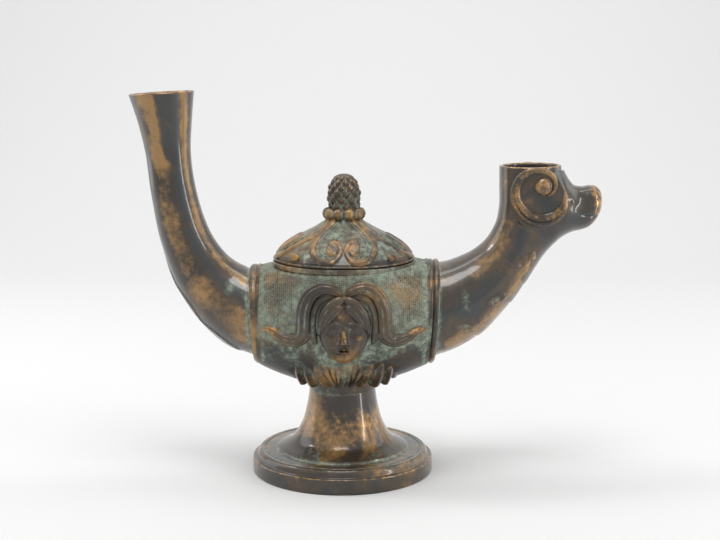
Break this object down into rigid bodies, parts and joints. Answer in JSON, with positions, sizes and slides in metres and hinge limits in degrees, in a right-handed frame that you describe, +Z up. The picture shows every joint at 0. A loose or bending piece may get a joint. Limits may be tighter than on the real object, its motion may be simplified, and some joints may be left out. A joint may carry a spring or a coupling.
{
  "type": "roman oil lamp",
  "caption": "Bronze oil lamp on a round foot: bowl with mask and rings, tall filling horn, ram's-head nozzle and domed lift-off lid with pine-cone knob.",
  "frame": {"origin": "under the middle of the lamp's box in X and Y, on the plane that the foot stands on", "axes": "+Z up, +X towards the ram's head at the nozzle, the front with the finer mask faces -Y; the foot's axis is at X = -0.0101"},
  "size_m": [0.1966, 0.077, 0.1616],
  "materials": {
    "body_bronze": "umber bronze patina, verdigris in the hollows, semi-gloss",
    "lid_bronze": "umber bronze patina, much verdigris between the scrolls",
    "foot_bronze": "umber bronze patina, rubbed edges, semi-gloss"
  },
  "bodies": {
    "root": {"lamp_body": "body_bronze", "lid": "lid_bronze", "foot": "foot_bronze"}
  },
  "joints": []
}
